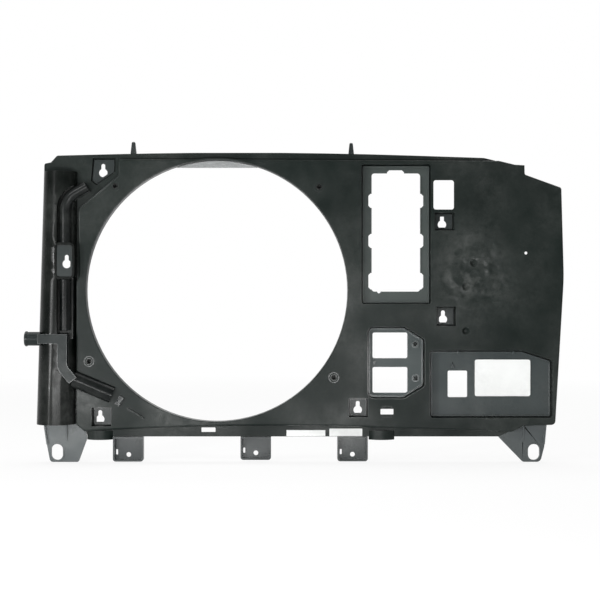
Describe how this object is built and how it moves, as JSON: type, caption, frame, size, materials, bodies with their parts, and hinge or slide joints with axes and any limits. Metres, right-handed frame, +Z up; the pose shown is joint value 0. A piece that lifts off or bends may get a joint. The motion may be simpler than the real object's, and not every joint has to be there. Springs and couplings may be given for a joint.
{
  "type": "radiator fan shroud",
  "caption": "Rectangular moulded radiator fan shroud with a large round fan opening at the left, air flap window, side tank cover, seated keyhole plates, feet and locating pins.",
  "frame": {"origin": "centre of the fan opening, on the plane that meets the radiator", "axes": "+X to the right and +Z up as seen from the engine; -Y towards the engine, +Y towards the radiator"},
  "size_m": [0.7593, 0.0377, 0.4552],
  "materials": {
    "panel": "satin moulded, fine grain",
    "tank": "semi-gloss moulded",
    "dark_cover": "semi-gloss moulded",
    "channel": "satin moulded",
    "frame_plate": "satin moulded",
    "tray_plate": "satin moulded",
    "key_plate": "satin moulded",
    "foot": "satin moulded",
    "lug": "satin moulded",
    "pin": "satin moulded",
    "insert": "zinc plated",
    "clip": "nylon",
    "label": "printed-label stock, bare"
  },
  "bodies": {
    "root": {"main_panel": "panel", "tank_cover": "tank", "vent_tube_cover_upper": "dark_cover", "vent_tube_cover_lower": "dark_cover", "pipe_channel": "channel", "hose_guard": "dark_cover", "flap_frame": "frame_plate", "resistor_plate": "frame_plate", "module_tray": "tray_plate", "keyhole_plate_mid_left": "key_plate", "keyhole_plate_top_left": "key_plate", "keyhole_plate_low_left": "key_plate", "keyhole_plate_low_centre": "key_plate", "keyhole_plate_upper_right": "key_plate", "keyhole_plate_mid_right": "key_plate", "foot_left": "foot", "foot_right": "foot", "lug_left": "lug", "lug_centre": "lug", "lug_right": "lug", "locating_pin_left": "pin", "locating_pin_right": "pin", "fan_mount_inserts": "insert", "resistor_inserts": "insert", "cable_clip": "clip", "data_label": "label", "stock_labels": "label"}
  },
  "joints": []
}
